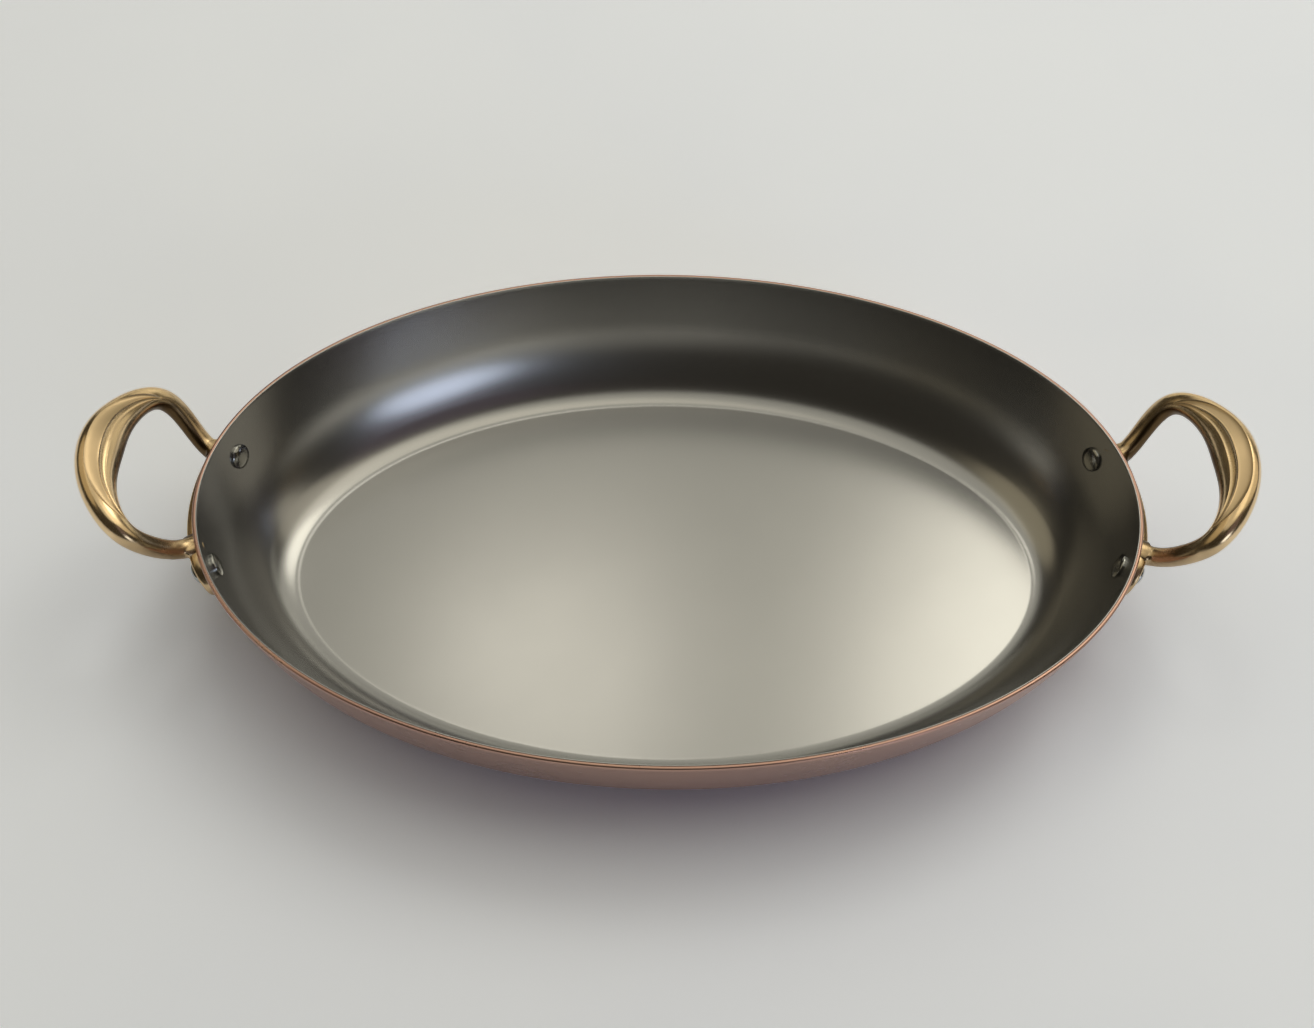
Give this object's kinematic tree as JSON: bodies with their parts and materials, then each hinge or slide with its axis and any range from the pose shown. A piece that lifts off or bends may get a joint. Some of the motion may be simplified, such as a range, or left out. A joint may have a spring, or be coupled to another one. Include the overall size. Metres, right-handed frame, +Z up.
{
  "type": "gratin pan",
  "caption": "Oval copper gratin pan with a bonded stainless lining and a raised bronze loop handle riveted to each end, for baking and serving.",
  "frame": {"origin": "middle of the underside of the base", "axes": "+X along the pan from one handle to the other, +Y across it towards the far rim, +Z up out of the pan"},
  "size_m": [0.4196, 0.2298, 0.08],
  "materials": {
    "copper": "fine brushed copper",
    "lining": "satin",
    "bronze": "polished cast bronze",
    "rivet_steel": "polished"
  },
  "bodies": {
    "root": {"copper_body": "copper", "steel_lining": "lining", "handle_left": "bronze", "handle_right": "bronze", "rivet_left_front": "rivet_steel", "rivet_left_rear": "rivet_steel", "rivet_right_front": "rivet_steel", "rivet_right_rear": "rivet_steel"}
  },
  "joints": []
}
